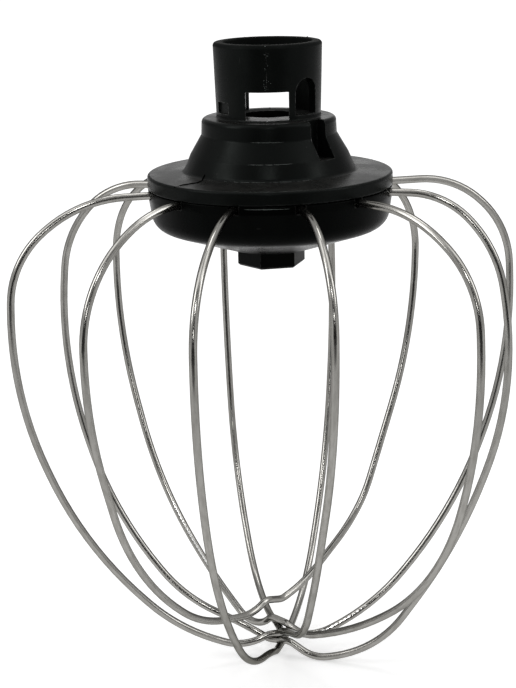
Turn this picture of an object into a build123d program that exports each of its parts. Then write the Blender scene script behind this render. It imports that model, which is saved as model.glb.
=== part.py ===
from build123d import *

import os
from collections import namedtuple
from math import cos, radians, sin, tan

# Wire whisk for a planetary stand mixer: a moulded drive hub, a cap that clamps the wire ends under it,
# the screw that holds the cap, and six loops of bent steel wire.
# Millimetres, +Z up. The origin is on the axis, at the mouth of the drive socket. -Y is the front.
# An azimuth is counted from the front, and grows towards +X.

# Drive collar, with a narrower pilot hole in the floor of its socket
socket_radius = 11.4
socket_depth = 18.8
pilot_radius = 6.8
pilot_depth = 8.6
collar_height = 19.2
collar_wall = 2.1
collar_flare = 0.55
rim_rounding = 0.9
socket_mouth_rounding = 0.4
collar_foot_rounding = 0.5

# Openings in the collar, each with its twin across the axis
window_width = 10.9
window_height = 7.1
arch_azimuth = 47.0
arch_width = 7.2
arch_height = 9.2
arch_sill = 1.4
recess_azimuth = -58.0
recess_width = 5.0
recess_height = 2.9
recess_sill = 1.6
recess_depth = 0.6

# Shoulder, band, skirt and flange, from the collar outwards
shoulder_width = 3.9
shoulder_rounding = 1.2
band_height = 4.4
band_draft = 0.2
band_rounding = 0.8
skirt_height = 5.1
skirt_spread = 3.0
skirt_foot_height = 4.2
skirt_foot_spread = 1.8
skirt_foot_rounding = 1.2
flange_width = 9.6
flange_fall = 0.7
flange_thickness = 3.5
flange_rounding = 0.7
seam_rounding = 0.35

# Relief slots in the band and the skirt
relief_azimuth = 47.5
relief_width = 5.4
relief_ledge = 0.9

# Ring groove that cores out the hub from below
socket_floor_thickness = 2.6
pilot_wall = 2.6
skirt_wall = 2.6
core_step = 2.5

# Cap under the flange: its side, and an underside that falls to a flat seat for the screw
cap_inset = 0.1
cap_side_height = 10.0
cap_wall = 2.8
cap_floor = 2.6
cap_draft = 1.2
cap_rounding = 4.5
cap_inner_rounding = 2.0
seat_radius = 11.5
seat_fall = 6.3
anchor_ring_wall = 3.0
boss_wall = 3.4

# Clamp screw
hex_across_flats = 15.6
hex_height = 4.8
hex_corner_azimuth = -17.0
hex_chamfer = 0.5
shank_radius = 4.0
shank_clearance = 0.2
thread_length = 5.5
thread_clearance = 0.05
thread_end_gap = 1.0

# Wire and its seat between hub and cap
wire_diameter = 2.0
wire_clearance = 0.1
notch_play = 0.5
hook_radius = 18.0
hook_inner_bend = 1.0
hook_play = 0.2
hook_end_gap = 2.0

# Outline that the legs of the cage share, as radii or as drops below the notches
cage_radius = 65.0
crest_reach = 13.9
shoulder_drop = 14.5
shoulder_inset = 2.0
belly_drop = 50.0
flank_drop = 95.0
flank_inset = 14.0
heel_radius = 28.0
heel_drop = 120.0
toe_radius = 10.0
toe_drop = 128.0
straight_share = 0.04

# Nest where the loops cross: the drop of the lowest one, and the kinks that lead over it.
# The highest loop stands clear of the others, and lies askew.
nest_drop = 131.1
nest_gap = 0.05
nest_radius = 3.0
kink_bend = 5.0
lifted_rise = 4.7
lifted_shift = 1.7
lifted_tilt = 0.8

# Each leg as it was bent: how far its crest, shoulder, belly and flank reach past the shared outline,
# and how far its heel and toe lie below it
Leg = namedtuple("Leg", "crest shoulder belly flank heel toe")

# Each loop, from the lowest crossing to the highest: the notch of its near leg, then its two legs.
# Notch 0 is the first one on the +X side of the front, and the far leg is in the notch across the axis.
# A lifted loop also says how far its kinks are raised, shifted to the near side and tilted.
Loop = namedtuple("Loop", "notch near far rise shift tilt", defaults=(0, 0, 0))
loops = [
    Loop(-1, Leg(-2.5, 1.5, 0.5, 3.0, 4.5, 0.5), Leg(-1.5, -0.5, 0.5, 2.5, 6.0, 2.5)),
    Loop(2, Leg(1.0, -3.0, 1.0, -0.5, 9.5, 5.5), Leg(-0.5, -4.5, -2.5, -2.5, -1.0, -2.5)),
    Loop(-3, Leg(4.0, 5.5, 5.5, 2.5, 2.5, 2.0), Leg(5.5, 3.5, 3.5, 1.0, 2.0, 1.5)),
    Loop(0, Leg(0.5, -1.5, -3.0, -10.0, -4.5, -6.0), Leg(-2.0, -1.0, -3.0, 3.0, 4.0, -2.0)),
    Loop(1, Leg(4.5, 7.5, 7.5, 8.5, -2.5, -3.5), Leg(0.0, 3.0, 2.5, -0.5, -3.0, 1.5)),
    Loop(
        -2,
        Leg(-5.0, 0.0, -1.5, 0.0, -5.0, -10.0),
        Leg(-4.0, -5.5, -8.5, -15.5, -17.0, -13.0),
        lifted_rise,
        lifted_shift,
        lifted_tilt,
    ),
]
notch_count = 2 * len(loops)
notch_pitch = 360 / notch_count

# Heights that follow
rim_z = 0.0
shoulder_z = rim_z - collar_height
band_foot_z = shoulder_z - band_height
crease_z = band_foot_z - skirt_height
skirt_foot_z = crease_z - skirt_foot_height
flange_z = skirt_foot_z - flange_fall
seam_z = flange_z - flange_thickness
socket_floor_z = rim_z - socket_depth
pilot_floor_z = socket_floor_z - pilot_depth
core_roof_z = socket_floor_z - socket_floor_thickness
core_step_z = crease_z - core_step
cap_side_z = seam_z - cap_side_height
seat_z = cap_side_z - seat_fall
screw_tip_z = seam_z + thread_length
notch_depth = wire_diameter + 2 * wire_clearance
notch_z = seam_z - notch_depth
wire_z = seam_z - notch_depth / 2

# Radii and lengths that follow
collar_foot_radius = socket_radius + collar_wall
collar_rim_radius = collar_foot_radius + collar_flare
band_top_radius = collar_foot_radius + shoulder_width
band_foot_radius = band_top_radius + band_draft
crease_radius = band_foot_radius + skirt_spread
skirt_foot_radius = crease_radius + skirt_foot_spread
flange_radius = skirt_foot_radius + flange_width
recess_floor_radius = collar_foot_radius - recess_depth
relief_floor_radius = collar_foot_radius + relief_ledge
core_inner_radius = pilot_radius + pilot_wall
core_waist_radius = relief_floor_radius - skirt_wall
cap_radius = flange_radius - cap_inset
cap_side_radius = cap_radius - cap_draft
cap_hole_radius = shank_radius + shank_clearance
boss_radius = cap_hole_radius + boss_wall
hook_bend = hook_inner_bend + wire_diameter / 2
anchor_ring_inner = hook_radius + hook_bend + hook_play
anchor_ring_outer = anchor_ring_inner + anchor_ring_wall
shoulder_radius = cage_radius - shoulder_inset
flank_radius = cage_radius - flank_inset
crossing_pitch = wire_diameter + nest_gap


def half_section(corners):
    """Face in the XZ plane, from corners that each give a radius, a height and a rounding."""
    with BuildSketch(Plane.XZ) as section:
        with BuildLine():
            FilletPolyline(
                *[(radius, height) for radius, height, rounding in corners],
                radius=[rounding for radius, height, rounding in corners],
                close=True,
            )
        make_face()
    return section.sketch


def twin_planes(azimuth, height, radius=0):
    """Two upright planes that look outwards at this radius: one at the azimuth, one across the axis."""
    planes = []
    for angle in (radians(azimuth), radians(azimuth + 180)):
        outwards = Vector(sin(angle), -cos(angle), 0)
        sideways = Vector(cos(angle), sin(angle), 0)
        planes.append(Plane(origin=outwards * radius + Vector(0, 0, height), x_dir=sideways, z_dir=outwards))
    return planes


def cap_floor_at(radius):
    """Height of the cap's floor inside, which follows the fall of the underside."""
    fall_share = (cap_side_radius - radius) / (cap_side_radius - seat_radius)
    return cap_side_z - seat_fall * min(fall_share, 1) + cap_floor


def leg_points(leg):
    """Corners of one leg as radius and height, from the mouth of its notch to its toe."""
    return [
        (cap_radius, 0),
        (cap_radius + crest_reach + leg.crest, 0),
        (shoulder_radius + leg.shoulder, -shoulder_drop),
        (cage_radius + leg.belly, -belly_drop),
        (flank_radius + leg.flank, -flank_drop),
        (heel_radius, -heel_drop - leg.heel),
        (toe_radius, -toe_drop - leg.toe),
    ]


def bend_radii(points):
    """Radius of the bend at each inner point: as large as the runs beside it leave room for."""
    runs = [Vector(after) - Vector(before) for before, after in zip(points, points[1:])]
    room = [(1 - straight_share) * run.length for run in runs]
    tangents = [0, *[min(pair) / 2 for pair in zip(room, room[1:])], 0]
    radii = []
    for i in range(1, len(points) - 1):
        tangents[i] = min(room[i - 1] - tangents[i - 1], room[i] - tangents[i + 1])
        turn = radians(runs[i - 1].get_angle(runs[i]))
        radii.append(tangents[i] / tan(turn / 2))
    return radii


# Upper hub
hub_corners = [
    (0, pilot_floor_z, 0),
    (pilot_radius, pilot_floor_z, 0),
    (pilot_radius, socket_floor_z, 0),
    (socket_radius, socket_floor_z, 0),
    (socket_radius, rim_z, socket_mouth_rounding),
    (collar_rim_radius, rim_z, rim_rounding),
    (collar_foot_radius, shoulder_z, collar_foot_rounding),
    (band_top_radius, shoulder_z, shoulder_rounding),
    (band_foot_radius, band_foot_z, band_rounding),
    (crease_radius, crease_z, 0),
    (skirt_foot_radius, skirt_foot_z, skirt_foot_rounding),
    (flange_radius, flange_z, flange_rounding),
    (flange_radius, seam_z, seam_rounding),
    (0, seam_z, 0),
]
core_corners = [
    (core_inner_radius, seam_z, 0),
    (core_inner_radius, core_roof_z, 0),
    (core_waist_radius, core_roof_z, 0),
    (core_waist_radius, core_step_z, 0),
    (crease_radius - skirt_wall, core_step_z, 0),
    (skirt_foot_radius - skirt_wall, seam_z, 0),
]

with BuildPart() as upper_hub:
    revolve(half_section(hub_corners), axis=Axis.Z)
    revolve(half_section(core_corners), axis=Axis.Z, mode=Mode.SUBTRACT)
    # Windows at the front and the back
    with BuildSketch(*twin_planes(0, socket_floor_z)):
        Rectangle(window_width, window_height, align=(Align.CENTER, Align.MIN))
    extrude(amount=collar_rim_radius, mode=Mode.SUBTRACT)
    # Arched slots through the collar
    with BuildSketch(*twin_planes(arch_azimuth, shoulder_z + arch_sill)):
        with BuildLine():
            arch_spring = arch_height - arch_width / 2
            sides = Polyline(
                (-arch_width / 2, arch_spring),
                (-arch_width / 2, 0),
                (arch_width / 2, 0),
                (arch_width / 2, arch_spring),
            )
            ThreePointArc(sides @ 1, (0, arch_height), sides @ 0)
        make_face()
    extrude(amount=collar_rim_radius, mode=Mode.SUBTRACT)
    # Shallow recesses in the collar
    with BuildSketch(*twin_planes(recess_azimuth, shoulder_z + recess_sill, recess_floor_radius)):
        Rectangle(recess_width, recess_height, align=(Align.CENTER, Align.MIN))
    extrude(amount=collar_rim_radius - recess_floor_radius, mode=Mode.SUBTRACT)
    # Relief slots from the shoulder down to the crease of the skirt
    with BuildSketch(*twin_planes(relief_azimuth, crease_z, relief_floor_radius)):
        Rectangle(relief_width, shoulder_z - crease_z, align=(Align.CENTER, Align.MIN))
    extrude(amount=crease_radius - relief_floor_radius, mode=Mode.SUBTRACT)
    # Blind hole for the clamp screw
    with BuildSketch(Plane.XY.offset(seam_z)):
        Circle(shank_radius + thread_clearance)
    extrude(amount=thread_length + thread_end_gap, mode=Mode.SUBTRACT)

# Lower cap: a dish with a boss for the screw and a ring that the hooked wire ends pull against
cap_corners = [
    (cap_hole_radius, seam_z, 0),
    (boss_radius, seam_z, 0),
    (boss_radius, cap_floor_at(boss_radius), 0),
    (seat_radius, cap_floor_at(seat_radius), 0),
    (anchor_ring_inner, cap_floor_at(anchor_ring_inner), 0),
    (anchor_ring_inner, seam_z, 0),
    (anchor_ring_outer, seam_z, 0),
    (anchor_ring_outer, cap_floor_at(anchor_ring_outer), 0),
    (cap_side_radius - cap_wall, cap_floor_at(cap_side_radius - cap_wall), cap_inner_rounding),
    (cap_radius - cap_wall, seam_z, 0),
    (cap_radius, seam_z, seam_rounding),
    (cap_radius, notch_z, 0),
    (cap_side_radius, cap_side_z, cap_rounding),
    (seat_radius, seat_z, 0),
    (cap_hole_radius, seat_z, 0),
]

with BuildPart() as lower_cap:
    revolve(half_section(cap_corners), axis=Axis.Z)
    # Notches for the wire ends, through the rim and the anchor ring
    notch_length = cap_radius - hook_radius
    with BuildSketch(Plane.XY.offset(seam_z)):
        with PolarLocations(hook_radius + notch_length / 2, notch_count, start_angle=notch_pitch / 2):
            Rectangle(notch_length, wire_diameter + notch_play)
    extrude(amount=-notch_depth, mode=Mode.SUBTRACT)

# Clamp screw
with BuildPart() as clamp_screw:
    with BuildSketch(Plane.XY.offset(seat_z)):
        RegularPolygon(hex_across_flats / 2, 6, major_radius=False, rotation=hex_corner_azimuth - 90)
    extrude(amount=-hex_height)
    chamfer(clamp_screw.faces().sort_by(Axis.Z)[0].edges(), hex_chamfer)
    with BuildSketch(Plane.XY.offset(seat_z)):
        Circle(shank_radius)
    extrude(amount=screw_tip_z - seat_z)

pieces = {
    "upper_hub": upper_hub.part,
    "lower_cap": lower_cap.part,
    "clamp_screw": clamp_screw.part,
}

# Wire loops, one over the other where they cross on the axis. Each runs from its near hook to its far one.
hook_length = wire_z - cap_floor_at(hook_radius) - hook_end_gap
near_hook = [(hook_radius, -hook_length), (hook_radius, 0)]
far_hook = [(-hook_radius, 0), (-hook_radius, -hook_length)]

for level, loop in enumerate(loops):
    crossing = (loop.shift, level * crossing_pitch - nest_drop + loop.rise)
    near_kink = (crossing[0] + nest_radius, crossing[1] + loop.tilt)
    far_kink = (crossing[0] - nest_radius, crossing[1] - loop.tilt)
    near = leg_points(loop.near)
    far = [(-radius, height) for radius, height in leg_points(loop.far)]
    near_radii = bend_radii([*near, near_kink, crossing])
    far_radii = bend_radii([*far, far_kink, crossing])
    near_radii[-1] = min(near_radii[-1], kink_bend)
    far_radii[-1] = min(far_radii[-1], kink_bend)
    azimuth = radians((loop.notch + 0.5) * notch_pitch)
    loop_plane = Plane(
        origin=(0, 0, wire_z),
        x_dir=(sin(azimuth), -cos(azimuth), 0),
        z_dir=(-cos(azimuth), -sin(azimuth), 0),
    )
    with BuildPart() as wire_loop:
        with BuildLine(loop_plane) as centre_line:
            FilletPolyline(
                *near_hook,
                *near[1:],
                near_kink,
                far_kink,
                *far[:0:-1],
                *far_hook,
                radius=[hook_bend, *near_radii, *far_radii[::-1], hook_bend],
            )
        with BuildSketch(Plane(origin=centre_line.line @ 0, z_dir=centre_line.line % 0)):
            Circle(wire_diameter / 2)
        sweep(path=centre_line.line)
    pieces[f"wire_loop_{level + 1}"] = wire_loop.part

# One file for each piece
os.makedirs("parts", exist_ok=True)
for name, piece in pieces.items():
    piece.label = name
    export_step(piece, f"parts/{name}.step")
    print(name, round(piece.volume, 1))
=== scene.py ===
import math
import random

import bpy
from mathutils import Matrix, Vector


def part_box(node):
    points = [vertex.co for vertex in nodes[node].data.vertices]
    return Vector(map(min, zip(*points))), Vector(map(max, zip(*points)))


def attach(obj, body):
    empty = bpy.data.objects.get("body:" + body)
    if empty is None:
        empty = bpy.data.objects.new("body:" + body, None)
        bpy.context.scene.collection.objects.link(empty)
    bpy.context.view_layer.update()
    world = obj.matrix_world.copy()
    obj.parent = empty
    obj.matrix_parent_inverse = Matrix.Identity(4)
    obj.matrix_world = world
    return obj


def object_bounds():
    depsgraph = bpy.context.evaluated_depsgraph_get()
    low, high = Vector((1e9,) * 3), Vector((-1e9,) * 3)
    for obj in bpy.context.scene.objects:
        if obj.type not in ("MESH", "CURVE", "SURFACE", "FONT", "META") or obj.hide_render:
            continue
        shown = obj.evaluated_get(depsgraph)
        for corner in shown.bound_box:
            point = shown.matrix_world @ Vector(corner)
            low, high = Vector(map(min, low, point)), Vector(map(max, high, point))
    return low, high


# Wire whisk for a stand mixer: black moulded hub, cap and screw, and a cage of bright drawn wire.
# Metres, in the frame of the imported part: +Z up along the axis, -Y the front.

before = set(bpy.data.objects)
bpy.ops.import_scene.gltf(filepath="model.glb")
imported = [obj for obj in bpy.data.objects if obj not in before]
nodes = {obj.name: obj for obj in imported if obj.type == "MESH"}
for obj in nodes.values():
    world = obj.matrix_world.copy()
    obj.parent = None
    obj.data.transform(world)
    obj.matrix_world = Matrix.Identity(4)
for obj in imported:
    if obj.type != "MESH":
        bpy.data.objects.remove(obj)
cad_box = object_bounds()
scene = bpy.context.scene
scene.view_settings.view_transform = "Standard"

MM = 0.001
FOOT_Z = cad_box[0][2]
WHITE = (1.0, 1.0, 1.0, 1.0)
BLACK = (0.0, 0.0, 0.0, 1.0)

# Camera
CAMERA_PLACE = Vector((0.01175, -0.42643, 0.03767))
CAMERA_YAW = math.radians(-2.129)
CAMERA_PITCH = math.radians(15.475)
CAMERA_ROLL = math.radians(-1.287)
SENSOR_HEIGHT = 36.0
LENS = 86.22

# Azimuth of the near leg of each wire loop, counted from the front towards +X
WIRE_AZIMUTH = {
    "wire_loop_1": -15,
    "wire_loop_2": 75,
    "wire_loop_3": -75,
    "wire_loop_4": 15,
    "wire_loop_5": 45,
    "wire_loop_6": -45,
}
CAGE_CENTRE_Z = -0.1
WIRE_RADIUS = 1.0 * MM

# Rows of tool marks, painted as white glints: the turns between which they lie on a loop, in degrees
# from its foot towards its near leg, and how squarely the surface must face the front light to be painted
TOOL_MARK_GLINTS = {
    "wire_loop_3": (-24.0, -9.0, 0.988),
    "wire_loop_5": (-50.5, -27.5, 0.97),
}
NICKS_PER_RADIAN = 300.0
NICK_DEPTH = 0.018
NICK_BLUR = 0.008
# Direction of the light above the front, which the painted glints face
GLINT_LIGHT_SIDE = (0.0, -0.79, 0.62)

# Scale of the plastic's scratches along X, Y and Z: they run along the axis with the smallest scale
UPRIGHT_SCRATCHES = (1500.0, 1500.0, 90.0)
LEVEL_SCRATCHES = (260.0, 260.0, 1600.0)
EVEN_SCRATCHES = (900.0, 900.0, 900.0)

# How strongly wear, and the painted highlight on edges, show on the plastic
POLISH_SPREAD = 0.05
EDGE_POLISH = 0.12
EDGE_GREY = 0.6
EDGE_COAT = 0.5
EDGE_COAT_MATT = 0.15
SCRATCH_GREY = 0.5
SCRATCH_DEPTH = 0.6
SOCKET_MATT = 0.45

# Marks on the plastic, painted highlights and painted shade lines, in millimetres
COLLAR_RADIUS = 13.9
FLASH_TOP = -1.2
FLASH_STEP = 0.35
FLASH_HEIGHT = 0.05
FLASH_HALF_WIDTH = 0.08
SCUFF_SPREAD = 0.9
SCUFF_SIZES = (0.05, 0.13)
SLIDE_HEIGHT = 0.22
SLIDE_HALF_WIDTH = 0.12
HIGHLIGHT_HEIGHT = 0.035
HIGHLIGHT_HALF_WIDTH = 0.13
RIDGE_SUNK = 0.02
GAP_HEIGHT = 0.07
GAP_HALF_WIDTH = 0.3
GAP_SUNK = 0.1

# Points along the flash, a lump's rise as a share of its size, and the least and most height of a painted
# highlight
FLASH_POINTS = 29
LUMP_RISE = 0.6
HIGHLIGHT_SHARES = (0.6, 1.0)

# Notches of the cap, in degrees, and the room that the gap's painted shade line leaves beside the wires
FIRST_NOTCH = 15
NOTCH_STEP = 30
WIRE_ROOM = 3


# Helpers for node trees

# The Mix node's colour sockets go by number, because its other kinds have sockets of the same names
MIX_FIRST = 6
MIX_SECOND = 7
MIX_RESULT = 2

FLOAT = "NodeSocketFloat"
VECTOR = "NodeSocketVector"
EDGE_SAMPLES = 6


def feed(tree, socket, source):
    """Link a socket to another, or set its value."""
    if isinstance(source, bpy.types.NodeSocket):
        tree.links.new(source, socket)
    else:
        socket.default_value = source


def node(tree, kind, settings=None, inputs=None):
    """Add a node, with its settings by name and its inputs by name or number."""
    added = tree.nodes.new(kind)
    for name, value in (settings or {}).items():
        setattr(added, name, value)
    for key, source in (inputs or {}).items():
        feed(tree, added.inputs[key], source)
    return added


def math_node(tree, operation, *sources, clamp=False):
    settings = {"operation": operation, "use_clamp": clamp}
    return node(tree, "ShaderNodeMath", settings, dict(enumerate(sources))).outputs[0]


def vector_node(tree, operation, *sources):
    added = node(tree, "ShaderNodeVectorMath", {"operation": operation}, dict(enumerate(sources)))
    return added.outputs["Vector"]


def dot(tree, first, second):
    added = node(tree, "ShaderNodeVectorMath", {"operation": "DOT_PRODUCT"}, {0: first, 1: second})
    return added.outputs["Value"]


def combine(tree, x, y, z):
    return node(tree, "ShaderNodeCombineXYZ", None, {0: x, 1: y, 2: z}).outputs[0]


def separate(tree, vector):
    return node(tree, "ShaderNodeSeparateXYZ", None, {0: vector}).outputs


def object_place(tree):
    return node(tree, "ShaderNodeTexCoord").outputs["Object"]


def noise(tree, vector, scale, detail=2.0, roughness=0.5):
    inputs = {"Vector": vector, "Scale": scale, "Detail": detail, "Roughness": roughness}
    return node(tree, "ShaderNodeTexNoise", None, inputs).outputs["Fac"]


def ramp(tree, source, low, high, to_low=0.0, to_high=1.0):
    """Map a value from low..high to to_low..to_high, with soft ends."""
    settings = {"interpolation_type": "SMOOTHSTEP"}
    inputs = {"Value": source, "From Min": low, "From Max": high, "To Min": to_low, "To Max": to_high}
    return node(tree, "ShaderNodeMapRange", settings, inputs).outputs["Result"]


def mix_colour(tree, factor, first, second):
    inputs = {"Factor": factor, MIX_FIRST: first, MIX_SECOND: second}
    return node(tree, "ShaderNodeMix", {"data_type": "RGBA"}, inputs).outputs[MIX_RESULT]


def bump(tree, height, distance, strength, normal):
    inputs = {"Height": height, "Distance": distance, "Strength": strength, "Normal": normal}
    return node(tree, "ShaderNodeBump", None, inputs).outputs["Normal"]


def new_group(name, inputs, outputs):
    """Empty shader node group, with what it is given and what it puts out.

    Inputs map each socket's name to its kind and default, outputs to its kind alone.
    """
    tree = bpy.data.node_groups.new(name, "ShaderNodeTree")
    for socket_name, (kind, default) in inputs.items():
        socket = tree.interface.new_socket(name=socket_name, in_out="INPUT", socket_type=kind)
        socket.default_value = default
    for socket_name, kind in outputs.items():
        tree.interface.new_socket(name=socket_name, in_out="OUTPUT", socket_type=kind)
    return tree, tree.nodes.new("NodeGroupInput").outputs, tree.nodes.new("NodeGroupOutput").inputs


def place_group(tree, group, **inputs):
    """Add a group to a tree, with its inputs by name."""
    return node(tree, "ShaderNodeGroup", {"node_tree": group}, inputs).outputs


def new_material(name):
    """Material with a bare Principled shader: the material, its nodes and the shader's inputs."""
    material = bpy.data.materials.new(name)
    material.use_nodes = True
    return material, material.node_tree, material.node_tree.nodes["Principled BSDF"].inputs


# Effects that several materials share


def moulded_skin_group():
    """Eroded mould texture: fine grain, and cloudy patches where the mould is polished by use."""
    tree, given, out = new_group(
        "Moulded skin",
        {"Grain scale": (FLOAT, 4200.0), "Patch scale": (FLOAT, 90.0)},
        {"Grain": FLOAT, "Patches": FLOAT},
    )
    place = object_place(tree)
    fine = noise(tree, place, given["Grain scale"], detail=3.0, roughness=0.65)
    cloudy = noise(tree, place, given["Patch scale"], detail=4.0, roughness=0.6)
    feed(tree, out["Grain"], fine)
    feed(tree, out["Patches"], ramp(tree, cloudy, low=0.35, high=0.68))
    return tree


def rubbed_edges_and_highlights_group():
    """Sharp edges, rounded a little, and a broken mask of where handling has polished and greyed them.
    The grey is partly a painted highlight.
    """
    tree, given, out = new_group(
        "Rubbed edges and highlights",
        {"Width": (FLOAT, 0.0004), "Breakup scale": (FLOAT, 900.0)},
        {"Edge": FLOAT, "Rounded": VECTOR},
    )
    normal = node(tree, "ShaderNodeNewGeometry").outputs["Normal"]
    place = object_place(tree)
    bevel = node(tree, "ShaderNodeBevel", {"samples": EDGE_SAMPLES}, {"Radius": given["Width"]})
    rounded = bevel.outputs["Normal"]
    turned = math_node(tree, "SUBTRACT", 1.0, dot(tree, rounded, normal))
    edge = ramp(tree, turned, low=0.015, high=0.16)
    patchy = noise(tree, place, given["Breakup scale"], detail=3.0, roughness=0.7)
    broken = ramp(tree, patchy, low=0.42, high=0.62)
    feed(tree, out["Edge"], math_node(tree, "MULTIPLY", edge, broken))
    feed(tree, out["Rounded"], rounded)
    return tree


def lit_tops_group():
    """Painted light: a cloudy lighter mask on surfaces that face up, for the light that falls on them."""
    tree, given, out = new_group("Painted light on tops", {"Cloud scale": (FLOAT, 260.0)}, {"Lit tops": FLOAT})
    normal = node(tree, "ShaderNodeNewGeometry").outputs["Normal"]
    place = object_place(tree)
    upwards = ramp(tree, separate(tree, normal)["Z"], low=0.9, high=0.99)
    cloudy = noise(tree, place, given["Cloud scale"], detail=3.0, roughness=0.6)
    clouds = ramp(tree, cloudy, low=0.3, high=0.7, to_low=0.4)
    feed(tree, out["Lit tops"], math_node(tree, "MULTIPLY", upwards, clouds))
    return tree


def hairlines_group():
    """Short straight scratches that lie along one direction, where noise passes a bar that Amount lowers."""
    tree, given, out = new_group(
        "Hairlines",
        {"Stretch": (VECTOR, UPRIGHT_SCRATCHES), "Amount": (FLOAT, 0.3)},
        {"Scratches": FLOAT},
    )
    highest_bar = 0.78
    full_amount = 0.2
    blur = 0.05
    place = object_place(tree)
    streaks = noise(tree, vector_node(tree, "MULTIPLY", place, given["Stretch"]), scale=1.0)
    patches = noise(tree, place, scale=150.0)
    lowered = math_node(tree, "MULTIPLY", given["Amount"], full_amount)
    bar = math_node(tree, "SUBTRACT", highest_bar, lowered)
    sharp = ramp(tree, streaks, bar, math_node(tree, "ADD", bar, blur))
    scratched = ramp(tree, patches, low=0.45, high=0.6)
    feed(tree, out["Scratches"], math_node(tree, "MULTIPLY", sharp, scratched))
    return tree


def wire_frame_group():
    """Where a point lies on a wire loop: its turn round the cage, and its place round the wire's section.

    A loop is flat, so the distance from its plane gives the exact slope of the round wire.
    """
    tree, given, out = new_group(
        "Wire frame",
        {"Outwards": (VECTOR, (0.0, -1.0, 0.0)), "Sideways": (VECTOR, (1.0, 0.0, 0.0))},
        {"Turn": FLOAT, "Side": FLOAT, "Outside": FLOAT, "Round": VECTOR},
    )
    normal = node(tree, "ShaderNodeNewGeometry").outputs["Normal"]
    place = object_place(tree)
    axes = separate(tree, place)
    # Slope of the round wire
    side = math_node(tree, "DIVIDE", dot(tree, place, given["Sideways"]), WIRE_RADIUS)
    side = math_node(tree, "MAXIMUM", math_node(tree, "MINIMUM", side, 1.0), -1.0)
    sloped = vector_node(tree, "MULTIPLY", given["Sideways"], dot(tree, normal, given["Sideways"]))
    flat = vector_node(tree, "NORMALIZE", vector_node(tree, "SUBTRACT", normal, sloped))
    left = math_node(tree, "SUBTRACT", 1.0, math_node(tree, "MULTIPLY", side, side))
    round_side = vector_node(tree, "MULTIPLY", given["Sideways"], side)
    round_flat = vector_node(tree, "MULTIPLY", flat, math_node(tree, "SQRT", left))
    round_normal = vector_node(tree, "ADD", round_side, round_flat)
    # Place in the loop's plane, from the middle of the cage
    reach = dot(tree, place, given["Outwards"])
    rise = math_node(tree, "SUBTRACT", axes["Z"], CAGE_CENTRE_Z)
    reach_squared = math_node(tree, "MULTIPLY", reach, reach)
    rise_squared = math_node(tree, "MULTIPLY", rise, rise)
    span = math_node(tree, "SQRT", math_node(tree, "ADD", reach_squared, rise_squared))
    # How far the surface faces away from the middle of the cage
    normal_rise = separate(tree, round_normal)["Z"]
    normal_reach = dot(tree, round_normal, given["Outwards"])
    facing_reach = math_node(tree, "MULTIPLY", normal_reach, reach)
    facing_rise = math_node(tree, "MULTIPLY", normal_rise, rise)
    facing = math_node(tree, "ADD", facing_reach, facing_rise)
    drop = math_node(tree, "MULTIPLY", rise, -1.0)
    feed(tree, out["Turn"], math_node(tree, "ARCTAN2", reach, drop))
    feed(tree, out["Side"], side)
    feed(tree, out["Outside"], math_node(tree, "DIVIDE", facing, span))
    feed(tree, out["Round"], round_normal)
    return tree


def drawn_lines_group():
    """Die lines that run along a drawn wire, and slow changes of polish along it."""
    tree, given, out = new_group(
        "Drawn lines",
        {"Turn": (FLOAT, 0.0), "Side": (FLOAT, 0.0), "Outside": (FLOAT, 0.0)},
        {"Lines": FLOAT, "Polish": FLOAT},
    )
    lines_across = 7.0
    lines_along = 0.2
    polish_along = 14.0
    line_turn = math_node(tree, "MULTIPLY", given["Turn"], lines_along)
    line_side = math_node(tree, "MULTIPLY", given["Side"], lines_across)
    line_outside = math_node(tree, "MULTIPLY", given["Outside"], lines_across)
    line_place = combine(tree, line_side, line_outside, line_turn)
    polish_turn = math_node(tree, "MULTIPLY", given["Turn"], polish_along)
    polish_place = combine(tree, given["Side"], given["Outside"], polish_turn)
    lines = noise(tree, line_place, scale=1.6, detail=4.0, roughness=0.7)
    cloudy = noise(tree, polish_place, scale=1.0, detail=3.0, roughness=0.6)
    feed(tree, out["Lines"], lines)
    feed(tree, out["Polish"], ramp(tree, cloudy, low=0.35, high=0.7))
    return tree


def tool_mark_glints_group():
    """Painted glints in a row of small nicks along a wire, between two turns, where it faces the front
    light.
    """
    tree, given, out = new_group(
        "Tool mark glints",
        {
            "Turn": (FLOAT, 0.0),
            "Round": (VECTOR, (0.0, 0.0, 1.0)),
            "First": (FLOAT, 0.0),
            "Last": (FLOAT, 0.0),
            "Edge": (FLOAT, 0.97),
        },
        {"Glints": FLOAT},
    )
    fade = 0.03
    wander_reach = 4.0
    facing = dot(tree, given["Round"], GLINT_LIGHT_SIDE)
    begun = ramp(tree, math_node(tree, "SUBTRACT", given["Turn"], given["First"]), 0.0, fade)
    ended = ramp(tree, math_node(tree, "SUBTRACT", given["Last"], given["Turn"]), 0.0, fade)
    wander = noise(tree, combine(tree, given["Turn"], 0.0, 0.0), scale=40.0)
    shift = math_node(tree, "MULTIPLY", wander, wander_reach)
    beat = math_node(tree, "MULTIPLY_ADD", given["Turn"], NICKS_PER_RADIAN, shift)
    widened = math_node(tree, "MULTIPLY_ADD", math_node(tree, "SINE", beat), NICK_DEPTH, facing)
    inside = math_node(tree, "SUBTRACT", widened, given["Edge"])
    glinting = ramp(tree, inside, -NICK_BLUR, NICK_BLUR)
    within = math_node(tree, "MULTIPLY", begun, ended)
    feed(tree, out["Glints"], math_node(tree, "MULTIPLY", glinting, within))
    return tree


moulded_skin = moulded_skin_group()
rubbed_edges_and_highlights = rubbed_edges_and_highlights_group()
lit_tops = lit_tops_group()
hairlines = hairlines_group()
wire_frame = wire_frame_group()
drawn_lines = drawn_lines_group()
tool_mark_glints = tool_mark_glints_group()


# Materials


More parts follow.
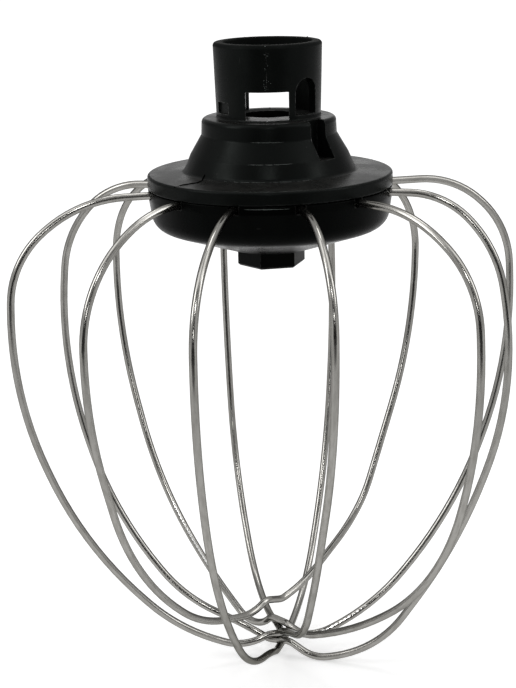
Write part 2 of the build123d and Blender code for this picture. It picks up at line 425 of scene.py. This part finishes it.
def socket_wear(tree):
    """Mask of the collar's mouth and bore, which the drive shaft has rubbed matt."""
    # Between these two radii, depths and heights each mask fades
    bore_wall = (0.0113, 0.0118)
    back_part = (-0.006, -0.004)
    mouth_rim = (-0.0012, -0.0004)
    axes = separate(tree, object_place(tree))
    squares = [math_node(tree, "MULTIPLY", axes[name], axes[name]) for name in ("X", "Y")]
    radius = math_node(tree, "SQRT", math_node(tree, "ADD", *squares))
    bore = math_node(tree, "SUBTRACT", 1.0, ramp(tree, radius, *bore_wall))
    behind = ramp(tree, axes["Y"], *back_part)
    mouth = ramp(tree, axes["Z"], *mouth_rim)
    return math_node(tree, "MAXIMUM", mouth, math_node(tree, "MULTIPLY", bore, behind))


def black_plastic(name, scratches, tone, matt=0.28, shine=0.035, rubbed_matt=None):
    """Black moulded plastic: eroded grain, cloudy polish, painted light on faces that look up, polished
    edges greyed by wear and partly by a painted highlight, and a few hairlines.

    Tone is its mean colour, matt its mean roughness and shine its specular level. What is rubbed matt is
    given as a function that makes its mask.
    """
    material, tree, shader = new_material(name)
    skin = place_group(tree, moulded_skin)
    edges = place_group(tree, rubbed_edges_and_highlights)
    lit_top = place_group(tree, lit_tops)
    lines = place_group(tree, hairlines, Stretch=scratches)
    deep = (tone * 0.75, tone * 0.88, tone * 0.82, 1.0)
    worn = (tone * 1.4, tone * 1.6, tone * 1.5, 1.0)
    rubbed_and_highlight_grey = (0.04, 0.04, 0.038, 1.0)
    lit_top_grey = (tone + 0.012, tone + 0.012, tone + 0.011, 1.0)
    gleam = (0.9, 1.0, 0.95, 1.0)
    colour = mix_colour(tree, skin["Patches"], deep, worn)
    # Painted light: faces that look up are made lighter
    colour = mix_colour(tree, lit_top["Lit tops"], colour, lit_top_grey)
    # Edges greyed by wear, and partly as a painted highlight
    colour = mix_colour(tree, math_node(tree, "MULTIPLY", edges["Edge"], EDGE_GREY), colour, rubbed_and_highlight_grey)
    colour = mix_colour(tree, math_node(tree, "MULTIPLY", lines["Scratches"], SCRATCH_GREY), colour, rubbed_and_highlight_grey)
    feed(tree, shader["Base Color"], colour)
    roughness = ramp(tree, skin["Patches"], 0.0, 1.0, matt + POLISH_SPREAD, matt - POLISH_SPREAD)
    polished = math_node(tree, "MULTIPLY", edges["Edge"], EDGE_POLISH)
    roughness = math_node(tree, "SUBTRACT", roughness, polished)
    if rubbed_matt:
        roughness = math_node(tree, "MULTIPLY_ADD", rubbed_matt(tree), SOCKET_MATT, roughness, clamp=True)
    feed(tree, shader["Roughness"], roughness)
    shader["Specular IOR Level"].default_value = shine
    shader["Specular Tint"].default_value = gleam
    feed(tree, shader["Coat Weight"], math_node(tree, "MULTIPLY", edges["Edge"], EDGE_COAT))
    shader["Coat Roughness"].default_value = EDGE_COAT_MATT
    cut = math_node(tree, "MULTIPLY", lines["Scratches"], SCRATCH_DEPTH)
    relief = math_node(tree, "SUBTRACT", skin["Grain"], cut)
    normal = bump(tree, relief, distance=0.00003, strength=0.6, normal=edges["Rounded"])
    feed(tree, shader["Normal"], normal)
    return material


def painted_shade_black(name):
    """Painted shade: black for the bottom of a narrow gap or step, with a little matt grime."""
    material, tree, shader = new_material(name)
    skin = place_group(tree, moulded_skin)
    deep = (0.0002, 0.0002, 0.0002, 1.0)
    grimy = (0.0009, 0.0009, 0.0008, 1.0)
    feed(tree, shader["Base Color"], mix_colour(tree, skin["Patches"], deep, grimy))
    feed(tree, shader["Roughness"], ramp(tree, skin["Grain"], low=0.3, high=0.7, to_low=0.75, to_high=0.95))
    shader["Specular IOR Level"].default_value = 0.0
    return material


def bright_wire(name, azimuth, glint_row):
    """Bright drawn steel wire of the loop at this azimuth, with a row of tool marks painted as glints, if
    any.
    """
    material, tree, shader = new_material(name)
    angle = math.radians(azimuth)
    place = place_group(
        tree,
        wire_frame,
        Outwards=(math.sin(angle), -math.cos(angle), 0.0),
        Sideways=(math.cos(angle), math.sin(angle), 0.0),
    )
    drawn = place_group(tree, drawn_lines, Turn=place["Turn"], Side=place["Side"], Outside=place["Outside"])
    bright = (0.24, 0.235, 0.222, 1.0)
    dull = (0.185, 0.18, 0.168, 1.0)
    glint_white = (0.95, 0.95, 0.93, 1.0)
    rim_gleam = (0.35, 0.35, 0.34, 1.0)
    colour = mix_colour(tree, drawn["Polish"], bright, dull)
    normal = bump(tree, drawn["Lines"], distance=0.00002, strength=0.05, normal=place["Round"])
    # Tool marks painted white as glints, where the wire faces the front light
    if glint_row:
        first, last, edge = glint_row
        glints = place_group(
            tree,
            tool_mark_glints,
            Turn=place["Turn"],
            Round=place["Round"],
            First=math.radians(first),
            Last=math.radians(last),
            Edge=edge,
        )
        colour = mix_colour(tree, glints["Glints"], colour, glint_white)
    feed(tree, shader["Base Color"], colour)
    feed(tree, shader["Roughness"], ramp(tree, drawn["Lines"], low=0.3, high=0.7, to_low=0.14, to_high=0.2))
    feed(tree, shader["Normal"], normal)
    shader["Metallic"].default_value = 1.0
    shader["Specular Tint"].default_value = rim_gleam
    return material


def dress(name, material):
    """Give a CAD node its material."""
    piece = nodes[name]
    piece.data.materials.clear()
    piece.data.materials.append(material)


hub_plastic = black_plastic("hub_plastic", UPRIGHT_SCRATCHES, tone=0.0028, rubbed_matt=socket_wear)
cap_plastic = black_plastic("cap_plastic", LEVEL_SCRATCHES, tone=0.0006, shine=0.02)
screw_plastic = black_plastic("screw_plastic", UPRIGHT_SCRATCHES, tone=0.0011, matt=0.32, shine=0.025)
dress("upper_hub", hub_plastic)
dress("lower_cap", cap_plastic)
dress("clamp_screw", screw_plastic)
for wire_name, wire_azimuth in WIRE_AZIMUTH.items():
    dress(wire_name, bright_wire("wire_steel_" + wire_name[-1], wire_azimuth, TOOL_MARK_GLINTS.get(wire_name)))


# Marks of the mould and of use, painted highlights and painted shade.
# Radii and heights are in millimetres, azimuths in degrees.


def new_object(name, corners, faces):
    mesh = bpy.data.meshes.new(name)
    mesh.from_pydata(corners, [], faces)
    made = bpy.data.objects.new(name, mesh)
    scene.collection.objects.link(made)
    return made


def ring_point(radius, azimuth, height):
    angle = math.radians(azimuth)
    return Vector((radius * math.sin(angle), -radius * math.cos(angle), height)) * MM


def on_piece(name, radius, azimuth, height):
    """Nearest point of a moulding's surface, and the normal there."""
    _, place, normal, _ = nodes[name].closest_point_on_mesh(ring_point(radius, azimuth, height))
    return place, normal.normalized()


def add_mark(name, corners, faces, material):
    """Small piece of the moulding's own plastic."""
    mark = new_object(name, corners, faces)
    mark.data.materials.append(material)
    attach(mark, "root")


def ridges(name, paths, half_width, sunk, material):
    """Low ridges with a sunk foot. Each path is a list of a place, a normal and a height."""
    corners = []
    faces = []
    for path in paths:
        first = len(corners)
        last = first + 3 * len(path)
        faces += [(first, first + 1, first + 2), (last - 1, last - 2, last - 3)]
        for i, (place, normal, height) in enumerate(path):
            ahead = path[min(i + 1, len(path) - 1)][0] - path[max(i - 1, 0)][0]
            across = normal.cross(ahead).normalized() * half_width * MM
            foot = place - normal * sunk * MM
            corners += [foot + across, place + normal * height * MM, foot - across]
        for i in range(first, last - 3, 3):
            for j in range(3):
                k = (j + 1) % 3
                faces.append((i + j, i + 3 + j, i + 3 + k, i + k))
    add_mark(name, corners, faces, material)


def lumps(name, spots, material):
    """Small eight-sided lumps, half sunk into the surface. Each spot is a place, a normal and a size."""
    corners = []
    faces = []
    for place, normal, size in spots:
        sideways = normal.orthogonal().normalized() * size * MM
        upwards = normal.cross(sideways)
        out = normal * LUMP_RISE * size * MM
        first = len(corners)
        ring = [sideways, upwards, -sideways, -upwards]
        corners += [place + step for step in ring]
        corners += [place + out, place - out]
        for i in range(4):
            faces.append((first + i, first + (i + 1) % 4, first + 4))
            faces.append((first + (i + 1) % 4, first + i, first + 5))
    add_mark(name, corners, faces, material)


def mould_marks(scuff_and_highlight, shade_black):
    """Flash along the mould's parting line, the scuffs beside it, burrs, and the line that a slide left.
    The scuffs are light and partly painted glints; the slide's line is black, as painted shade in its step.
    """
    chance = random.Random(7)
    heights = [FLASH_TOP - FLASH_STEP * i for i in range(FLASH_POINTS)]
    for name, azimuth in (("front_flash", 0.0), ("back_flash", 180.0)):
        path = []
        for height in heights:
            raised = chance.uniform(0.0, FLASH_HEIGHT)
            path.append((*on_piece("upper_hub", COLLAR_RADIUS, azimuth, height), raised))
        ridges(name, [path], FLASH_HALF_WIDTH, RIDGE_SUNK, hub_plastic)
    # Light scuffs, partly painted glints of the front light: one on the rim, then clusters of them, each
    # with its height, half its width and its count
    spots = [(*on_piece("upper_hub", COLLAR_RADIUS, -0.8, 0.0), 0.2)]
    clusters = [(-2.6, 2.0, 9), (-5.6, 2.0, 6), (-9.4, 3.0, 10), (-10.2, 6.0, 6)]
    for middle, half_width, count in clusters:
        for _ in range(count):
            azimuth = chance.uniform(-half_width, half_width)
            height = middle + chance.uniform(-SCUFF_SPREAD, SCUFF_SPREAD)
            place, normal = on_piece("upper_hub", COLLAR_RADIUS, azimuth, height)
            spots.append((place, normal, chance.uniform(*SCUFF_SIZES)))
    lumps("front_scuffs_and_glints", spots, scuff_and_highlight)
    # Radius, azimuth, height and size of each burr
    burrs = [(12.8, 127.0, 0.0, 0.4), (12.6, -150.0, 0.0, 0.25), (12.4, 180.0, -18.8, 0.35)]
    lumps("burrs", [(*on_piece("upper_hub", *place), size) for *place, size in burrs], hub_plastic)
    # Radius, azimuth and height of the points of the slide's line, from the flange's edge up the skirt
    slide = [(31.9, -46.9, -33.8), (29.6, -46.0, -33.4), (27.7, -44.3, -33.3), (25.9, -42.6, -33.1)]
    slide += [(24.2, -43.6, -33.0), (22.9, -46.6, -33.0), (22.3, -47.1, -32.6), (21.9, -46.6, -31.8)]
    # The slide's line is drawn black, as painted shade in the step that the slide left
    path = [(*on_piece("upper_hub", *point), SLIDE_HEIGHT) for point in slide]
    ridges("slide_line", [path], SLIDE_HALF_WIDTH, RIDGE_SUNK, shade_black)


def painted_edge_highlights(scuff_and_highlight):
    """Painted highlights: light ridges along edges at front and back, where the front light glints.
    Their ends taper off, and some are broken.
    """
    chance = random.Random(11)
    # Moulding, radius and height of each edge, its first and last azimuth, and how often it is broken
    edges = {
        "band_foot_highlight": ("upper_hub", 17.65, -23.6, -14, 14, 0.0),
        "skirt_crease_highlight": ("upper_hub", 20.6, -28.7, -14, 18, 0.08),
        "skirt_foot_highlight": ("upper_hub", 22.45, -32.95, -34, 34, 0.3),
        "flange_highlight": ("upper_hub", 31.3, -33.7, -24, 26, 0.15),
        "cap_highlight": ("lower_cap", 31.8, -37.8, -11, 11, 0.0),
    }
    for name, (carrier, radius, height, first, last, broken) in edges.items():
        paths = []
        for side in (0, 180):
            path = []
            for azimuth in range(first, last + 1):
                # Height of the painted highlight, tapered to its ends
                taper = math.sin(math.pi * (azimuth - first) / (last - first))
                raised = HIGHLIGHT_HEIGHT * taper * chance.uniform(*HIGHLIGHT_SHARES)
                if chance.random() < broken:
                    raised = -HIGHLIGHT_HEIGHT
                path.append((*on_piece(carrier, radius, side + azimuth, height), raised))
            paths.append(path)
        ridges(name, paths, HIGHLIGHT_HALF_WIDTH, RIDGE_SUNK, scuff_and_highlight)


def parting_line(shade_black):
    """Painted shade: a black strip in the gap between flange and cap, from each wire to the next."""
    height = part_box("upper_hub")[0][2] / MM
    outside_radius = 33.0
    below = 0.6
    paths = []
    for notch in range(FIRST_NOTCH, FIRST_NOTCH + 360, NOTCH_STEP):
        path = []
        for azimuth in range(notch + WIRE_ROOM, notch + NOTCH_STEP - WIRE_ROOM + 1):
            outwards = ring_point(1.0, azimuth, 0.0).normalized()
            side = on_piece("lower_cap", outside_radius, azimuth, height - below)[0]
            place = ring_point(side.dot(outwards) / MM, azimuth, height)
            path.append((place, outwards, GAP_HEIGHT))
        paths.append(path)
    ridges("parting_line", paths, GAP_HALF_WIDTH, GAP_SUNK, shade_black)


# Light plastic for the scuffs, and for the painted highlights along edges
scuff_and_highlight_plastic = black_plastic("hub_scuffs_and_highlights", EVEN_SCRATCHES, tone=0.08, matt=0.3, shine=0.5)
# Black for painted shade, in the gap between flange and cap and in the slide's step
painted_shade_gap = painted_shade_black("painted_shade_gap")
mould_marks(scuff_and_highlight_plastic, painted_shade_gap)
painted_edge_highlights(scuff_and_highlight_plastic)
parting_line(painted_shade_gap)


# Floor, light and camera


def background_rays(tree):
    """1 for the rays that see the background: straight from the camera, or off metal and gloss."""
    rays = node(tree, "ShaderNodeLightPath").outputs
    seen = math_node(tree, "ADD", rays["Is Camera Ray"], rays["Is Glossy Ray"])
    return math_node(tree, "ADD", seen, rays["Is Transmission Ray"], clamp=True)


def white_floor():
    """White floor at the foot of the whisk. It keeps a faint shadow, and is lifted to white as a background.

    In reflections it is lifted more right under the whisk.
    """
    half = 6.0
    corners = [(-half, -half, FOOT_Z), (half, -half, FOOT_Z), (half, half, FOOT_Z), (-half, half, FOOT_Z)]
    floor = new_object("floor", corners, [(0, 1, 2, 3)])
    material, tree, shader = new_material("floor_white")
    shader["Base Color"].default_value = (0.85, 0.85, 0.85, 1.0)
    shader["Roughness"].default_value = 1.0
    shader["Specular IOR Level"].default_value = 0.0
    shader["Emission Color"].default_value = WHITE
    place = object_place(tree)
    reach = node(tree, "ShaderNodeVectorMath", {"operation": "LENGTH"}, {0: place}).outputs["Value"]
    outwards = ramp(tree, reach, low=0.2, high=1.3, to_low=0.44, to_high=0.68)
    lift = math_node(tree, "MULTIPLY", background_rays(tree), outwards)
    mirrored = node(tree, "ShaderNodeLightPath").outputs["Is Glossy Ray"]
    under = ramp(tree, reach, low=0.175, high=0.3, to_low=0.38, to_high=0.0)
    feed(tree, shader["Emission Strength"], math_node(tree, "MULTIPLY_ADD", mirrored, under, lift))
    floor.data.materials.append(material)


def white_world():
    """White all round for the background, and half as bright as a light on the whisk."""
    world = bpy.data.worlds.new("studio")
    world.use_nodes = True
    tree = world.node_tree
    background = tree.nodes["Background"].inputs
    background["Color"].default_value = WHITE
    feed(tree, background["Strength"], ramp(tree, background_rays(tree), 0.0, 1.0, to_low=0.5))
    scene.world = world


def soft_lamp(name, place, width, height, radiance):
    """Area lamp that faces the cage. Its radiance is how bright it looks in a mirror, where 1 is white."""
    target = Vector((0.0, 0.0, -0.08))
    light = bpy.data.lights.new(name, "AREA")
    light.shape = "RECTANGLE"
    light.size = width
    light.size_y = height
    light.energy = radiance * math.pi * width * height
    lamp = bpy.data.objects.new(name, light)
    lamp.location = place
    lamp.rotation_euler = (target - Vector(place)).to_track_quat("-Z", "Y").to_euler()
    scene.collection.objects.link(lamp)


def mirrored_card(name, pairs, glow):
    """Strip between pairs of points that only shows as a reflection, as bright as its glow."""
    corners = [corner for pair in pairs for corner in pair]
    faces = [(2 * i, 2 * i + 1, 2 * i + 3, 2 * i + 2) for i in range(len(pairs) - 1)]
    card = new_object(name, corners, faces)
    material, tree, shader = new_material(name + "_grey")
    shader["Base Color"].default_value = BLACK
    shader["Roughness"].default_value = 1.0
    shader["Specular IOR Level"].default_value = 0.0
    shader["Emission Color"].default_value = WHITE
    shader["Emission Strength"].default_value = glow
    card.data.materials.append(material)
    card.visible_camera = False
    card.visible_diffuse = False
    card.visible_transmission = False
    card.visible_shadow = False


def level_card(name, first_x, last_x, profile, glow):
    """Mirrored card between two values of X, with the Y and Z of its profile."""
    mirrored_card(name, [((first_x, y, z), (last_x, y, z)) for y, z in profile], glow)


def front_cards():
    """Dark room in front of the table, the grey ceiling over it, and a paler strip before that ceiling."""
    half = 0.45
    strip_half = 0.2
    room = [(-0.36, -0.172), (-0.6, -0.16), (-0.85, 0.0), (-0.95, 0.3)]
    ceiling = [(-0.95, 0.3), (-0.9, 0.6), (-0.7, 0.85)]
    strip = [(-0.6365, 0.457), (-0.571, 0.533)]
    level_card("front_room", -half, half, room, glow=0.04)
    level_card("front_ceiling", -half, half, ceiling, glow=0.3)
    level_card("front_strip", -strip_half, strip_half, strip, glow=0.6)


def overhead_cards():
    """Bright ceiling above the whisk, with a dimmer middle."""
    half = 1.0
    middle_half = 0.22
    glow = 3.2
    ceiling = [(-0.47, 0.71), (-0.35, 0.76), (-0.13, 0.81), (0.09, 0.8)]
    level_card("overhead_left", -half, -middle_half, ceiling, glow)
    level_card("overhead_middle", -middle_half, middle_half, ceiling, glow=1.3)
    level_card("overhead_right", middle_half, half, ceiling, glow)


def front_spots():
    """Two small bright lights in front, which give the near wires their glints."""
    # Y and Z of each middle, half its size and its glow
    spots = {"upper_spot": (-0.645, 0.38, 0.055, 30.0), "lower_spot": (-0.76, 0.07, 0.04, 22.0)}
    for name, (y, z, half, glow) in spots.items():
        level_card(name, -half, half, [(y, z - half), (y, z + half)], glow)


def grey_walls():
    """Curved grey walls behind the table, to the left and the right."""
    reach = 1.2
    top = 0.6
    azimuths = range(12, 73, 10)
    for side, name in ((-1, "left_wall"), (1, "right_wall")):
        wall = []
        for azimuth in azimuths:
            x = side * reach * math.sin(math.radians(azimuth))
            y = reach * math.cos(math.radians(azimuth))
            wall.append(((x, y, FOOT_Z), (x, y, top)))
        mirrored_card(name, wall, glow=0.45)


def photo_camera():
    """Camera at the photo's viewpoint."""
    forward = Vector((
        math.sin(CAMERA_YAW) * math.cos(CAMERA_PITCH),
        math.cos(CAMERA_YAW) * math.cos(CAMERA_PITCH),
        -math.sin(CAMERA_PITCH),
    ))
    level = Vector((math.cos(CAMERA_YAW), -math.sin(CAMERA_YAW), 0.0))
    upright = level.cross(forward)
    right = math.cos(CAMERA_ROLL) * level + math.sin(CAMERA_ROLL) * upright
    up = math.cos(CAMERA_ROLL) * upright - math.sin(CAMERA_ROLL) * level
    lens = bpy.data.cameras.new("camera")
    lens.sensor_fit = "VERTICAL"
    lens.sensor_height = SENSOR_HEIGHT
    lens.lens = LENS
    camera = bpy.data.objects.new("camera", lens)
    turn = Matrix((right, up, -forward)).transposed().to_4x4()
    camera.matrix_world = Matrix.Translation(CAMERA_PLACE) @ turn
    scene.collection.objects.link(camera)
    scene.camera = camera


white_floor()
white_world()
front_cards()
overhead_cards()
front_spots()
grey_walls()
soft_lamp("left_softbox", (-0.85, -0.35, 0.45), width=0.35, height=0.5, radiance=7.0)
soft_lamp("right_softbox", (0.9, -0.25, 0.4), width=0.28, height=0.45, radiance=5.5)
soft_lamp("top_softbox", (0.0, 0.25, 0.95), width=0.35, height=0.35, radiance=5.0)
photo_camera()
